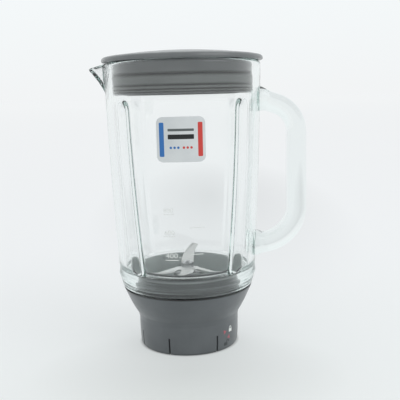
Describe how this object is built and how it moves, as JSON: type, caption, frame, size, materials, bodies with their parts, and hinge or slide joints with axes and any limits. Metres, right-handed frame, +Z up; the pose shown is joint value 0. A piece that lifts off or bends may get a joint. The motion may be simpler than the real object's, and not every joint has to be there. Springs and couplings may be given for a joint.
{
  "type": "blender jar",
  "caption": "Glass blender jar with a pouring spout and a loop handle, a sealed lid with a filler cap, and a screw-on base that carries the turning blade set.",
  "frame": {"origin": "centre of the base ring's lower edge, on the shaft axis", "axes": "+Z up along the shaft axis, +X towards the handle, -X towards the spout, -Y towards the label"},
  "size_m": [0.1882, 0.1404, 0.2603],
  "materials": {
    "clear_glass": "clear moulded glass",
    "dark_plastic": "satin",
    "seal_rubber": "matte",
    "label_film": "printed film",
    "bright_steel": "brushed",
    "bronze": "sintered",
    "brass": "turned"
  },
  "bodies": {
    "jar": {"jug": "clear_glass", "label": "label_film", "lid": "dark_plastic", "lid_seal": "seal_rubber", "filler_cap": "dark_plastic", "base_collar": "dark_plastic", "jug_seal": "seal_rubber", "blade_carrier": "dark_plastic", "upper_bush": "bronze", "lower_bush": "bronze", "shaft_seal": "seal_rubber", "seal_retainer": "bright_steel"},
    "blades": {"shaft": "bright_steel", "blade_spacer": "bright_steel", "lower_blade": "bright_steel", "upper_blade": "bright_steel", "blade_washer": "bright_steel", "blade_nut": "bright_steel", "thrust_washer": "bronze", "circlip": "bright_steel", "drive_coupling": "dark_plastic", "coupling_insert": "brass"}
  },
  "joints": [
    {"name": "blade_spin", "type": "hinge", "parent": "jar", "child": "blades", "pos_m": [0, 0, 0], "axis": [0, 0, 1], "continuous": true}
  ]
}
